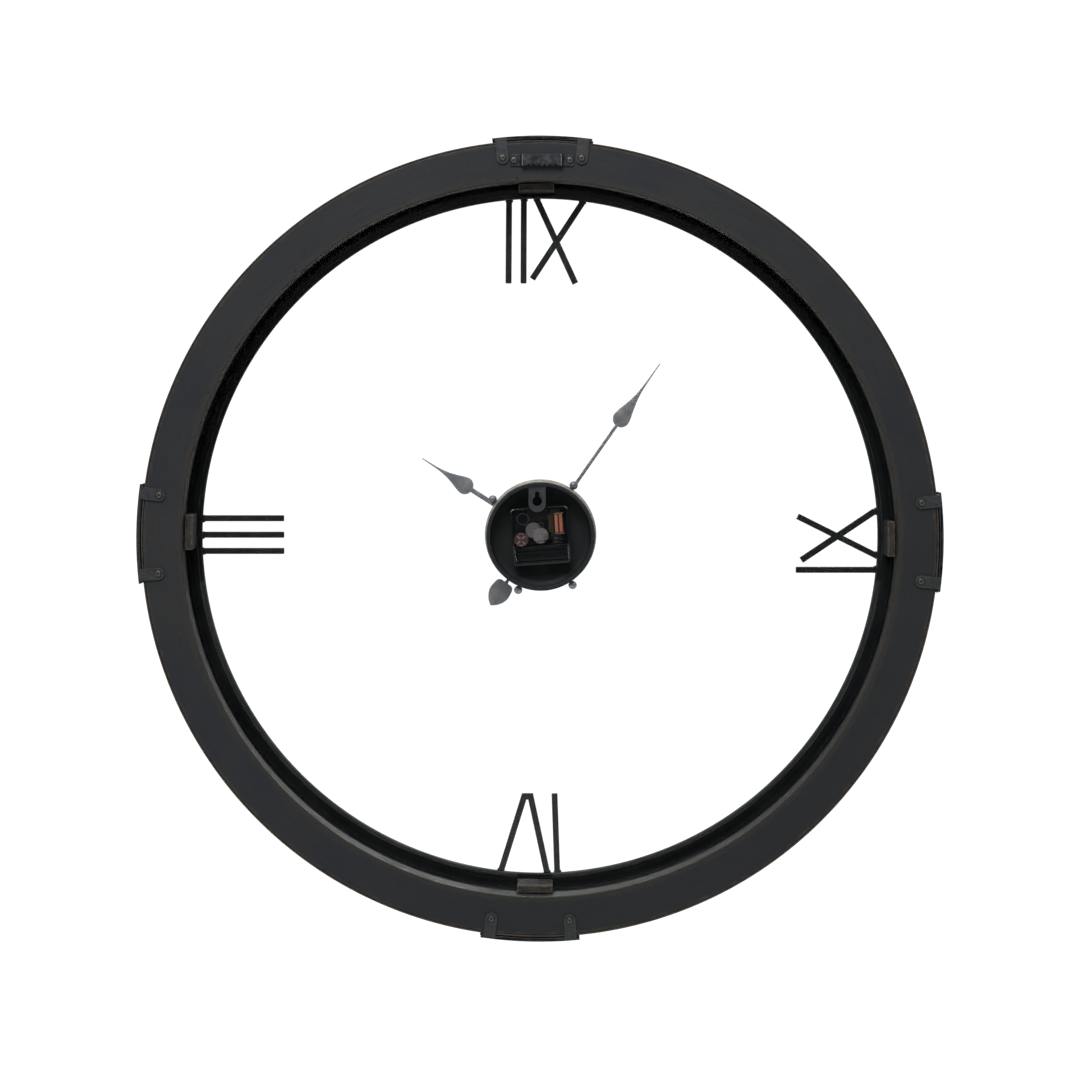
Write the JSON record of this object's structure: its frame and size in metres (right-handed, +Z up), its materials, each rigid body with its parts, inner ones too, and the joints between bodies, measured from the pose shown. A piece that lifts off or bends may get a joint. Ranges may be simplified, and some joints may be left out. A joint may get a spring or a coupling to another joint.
{
  "type": "wall clock",
  "caption": "Round open-dial wall clock with a dark ring, glass pane, welded Roman numerals and a quartz movement in a pod.",
  "frame": {"origin": "centre of the clock's bounding box, on the axis of the case ring and half-way through its depth", "axes": "-Y is the side that the dial faces, +Y points out of the back towards the wall, +Z is up to twelve o'clock, and +X is the three o'clock side"},
  "size_m": [0.7928, 0.0684, 0.7928],
  "materials": {
    "case_steel": "blackened, satin",
    "board": "black paint, rubbed at the edges",
    "glass": "clear, polished",
    "block": "black-brown, matt",
    "strap": "blackened, worn edges",
    "screw": "blackened, a little rust",
    "hanger": "blued, bright cut edges",
    "bar": "blackened, satin",
    "pod_base": "grey-beige, turned",
    "pod_cup": "black, satin",
    "pod_tab": "dark grey",
    "zinc": "zinc plated",
    "brass": "polished",
    "movement_case": "black",
    "smoked_cover": "smoked clear",
    "wheel": "milky white",
    "knob": "dark red",
    "rotor": "magnet with a plastic pinion",
    "steel": "bright",
    "copper": "enamelled copper wire",
    "circuit": "printed board",
    "contact": "nickel plated",
    "pewter": "pewter grey"
  },
  "bodies": {
    "case": {"front_case": "case_steel", "back_ring": "board", "glass_pane": "glass", "glass_block_12": "block", "glass_block_3": "block", "glass_block_6": "block", "glass_block_9": "block", "strap_12": "strap", "strap_3": "strap", "strap_6": "strap", "strap_9": "strap", "strap_screw_12_a": "screw", "strap_screw_12_b": "screw", "strap_screw_3_a": "screw", "strap_screw_3_b": "screw", "strap_screw_6_a": "screw", "strap_screw_6_b": "screw", "strap_screw_9_a": "screw", "strap_screw_9_b": "screw", "hanger_screw_a": "screw", "hanger_screw_b": "screw", "sawtooth_hanger": "hanger", "numeral_12_bar_1": "bar", "numeral_12_bar_2": "bar", "numeral_12_cross": "bar", "numeral_3_bar_1": "bar", "numeral_3_bar_2": "bar", "numeral_3_bar_3": "bar", "numeral_6_v": "bar", "numeral_6_bar": "bar", "numeral_9_cross": "bar", "numeral_9_bar": "bar", "pod_base": "pod_base", "pod_cup": "pod_cup", "pod_hanger_tab": "pod_tab", "pod_screw_upper_right": "zinc", "pod_screw_upper_left": "zinc", "pod_screw_lower_left": "zinc", "pod_screw_lower_right": "zinc", "bush_nut": "brass", "movement_case": "movement_case", "middle_plate": "movement_case", "movement_cover": "smoked_cover", "stator": "steel", "coil": "copper", "circuit_board": "circuit", "battery_contact_plus": "contact", "battery_contact_minus": "contact"},
    "minute_group": {"minute_hand": "pewter", "minute_arbor": "steel", "hand_cap_nut": "brass"},
    "hour_group": {"hour_hand": "pewter", "hour_wheel": "wheel"},
    "transfer_group": {"transfer_wheel": "wheel"},
    "setting_group": {"set_wheel": "knob"},
    "centre_group": {"minute_wheel": "wheel"},
    "third_group": {"third_wheel": "wheel"},
    "seconds_group": {"seconds_wheel": "wheel"},
    "intermediate_group": {"intermediate_wheel": "wheel"},
    "rotor_group": {"rotor": "rotor"}
  },
  "joints": [
    {"name": "minute_turn", "type": "hinge", "parent": "case", "child": "minute_group", "pos_m": [-0.0006, -0.02595, 0.003], "axis": [0, 1, 0], "continuous": true},
    {"name": "hour_turn", "type": "hinge", "parent": "case", "child": "hour_group", "pos_m": [-0.0006, -0.02295, 0.003], "axis": [0, 1, 0], "continuous": true},
    {"name": "transfer_turn", "type": "hinge", "parent": "case", "child": "transfer_group", "pos_m": [0.0094, -0.00715, 0.00287], "axis": [0, 1, 0], "continuous": true},
    {"name": "setting_turn", "type": "hinge", "parent": "case", "child": "setting_group", "pos_m": [0.01868, 0.00205, -0.00085], "axis": [0, 1, 0], "continuous": true},
    {"name": "rotor_turn", "type": "hinge", "parent": "case", "child": "rotor_group", "pos_m": [-0.0159, -0.00295, -0.00116], "axis": [0, 1, 0], "continuous": true},
    {"name": "intermediate_turn", "type": "hinge", "parent": "case", "child": "intermediate_group", "pos_m": [-0.00914, -0.00045, 0.00068], "axis": [0, 1, 0], "continuous": true},
    {"name": "seconds_turn", "type": "hinge", "parent": "case", "child": "seconds_group", "pos_m": [-0.0006, -0.00195, 0.003], "axis": [0, 1, 0], "continuous": true},
    {"name": "third_turn", "type": "hinge", "parent": "case", "child": "third_group", "pos_m": [0.00644, -0.00325, 0.00836], "axis": [0, 1, 0], "continuous": true},
    {"name": "centre_turn", "type": "hinge", "parent": "case", "child": "centre_group", "pos_m": [-0.0006, -0.00455, 0.003], "axis": [0, 1, 0], "continuous": true}
  ],
  "couplings": [
    {"joint": "hour_turn", "follows": "minute_turn", "ratio": 0.083333},
    {"joint": "transfer_turn", "follows": "minute_turn", "ratio": -0.33333},
    {"joint": "setting_turn", "follows": "minute_turn", "ratio": 1},
    {"joint": "intermediate_turn", "follows": "rotor_turn", "ratio": -0.25},
    {"joint": "seconds_turn", "follows": "rotor_turn", "ratio": 0.033333},
    {"joint": "third_turn", "follows": "rotor_turn", "ratio": -0.0041667},
    {"joint": "centre_turn", "follows": "rotor_turn", "ratio": 0.00055556}
  ]
}
